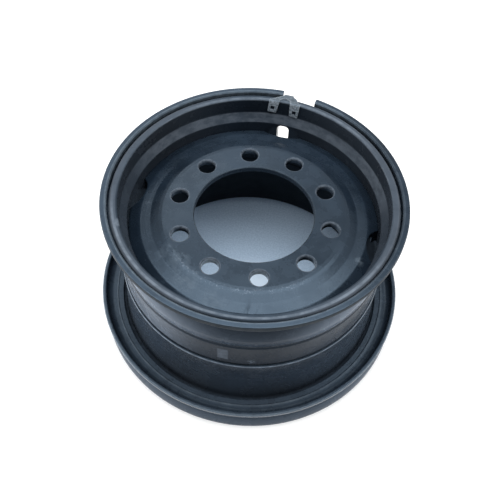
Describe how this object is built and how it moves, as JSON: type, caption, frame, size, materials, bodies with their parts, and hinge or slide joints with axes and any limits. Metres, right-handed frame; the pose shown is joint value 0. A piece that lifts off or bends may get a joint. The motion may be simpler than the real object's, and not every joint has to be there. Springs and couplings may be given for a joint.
{
  "type": "truck wheel",
  "caption": "Multi-piece steel truck disc wheel for a tube-type tyre: rim with gutter, split lock ring, loose side flange and pressed disc with hub bore, stud holes and hand holes.",
  "frame": {"origin": "on the wheel's axis, in the plane of the ground that the fixed flange rests on", "axes": "+Z along the wheel's axis, up out of the lock-ring side; +Y from the axis to the valve slot"},
  "size_m": [0.6069, 0.607, 0.328],
  "materials": {
    "rim_paint": "semi-matt black paint, slightly worn at edges",
    "disc_paint": "semi-matt black paint with dull scuffs and dust",
    "ring_paint": "semi-matt black paint, rubbed at the edges",
    "weld_bead": "rough weld under black paint",
    "bracket_paint": "thin worn grey paint on pressed sheet"
  },
  "bodies": {
    "root": {"rim_shell": "rim_paint", "gutter_section": "rim_paint", "joint_weld": "weld_bead", "side_flange": "ring_paint", "lock_ring": "ring_paint", "wheel_disc": "disc_paint", "disc_weld": "weld_bead", "valve_bracket": "bracket_paint"}
  },
  "joints": []
}
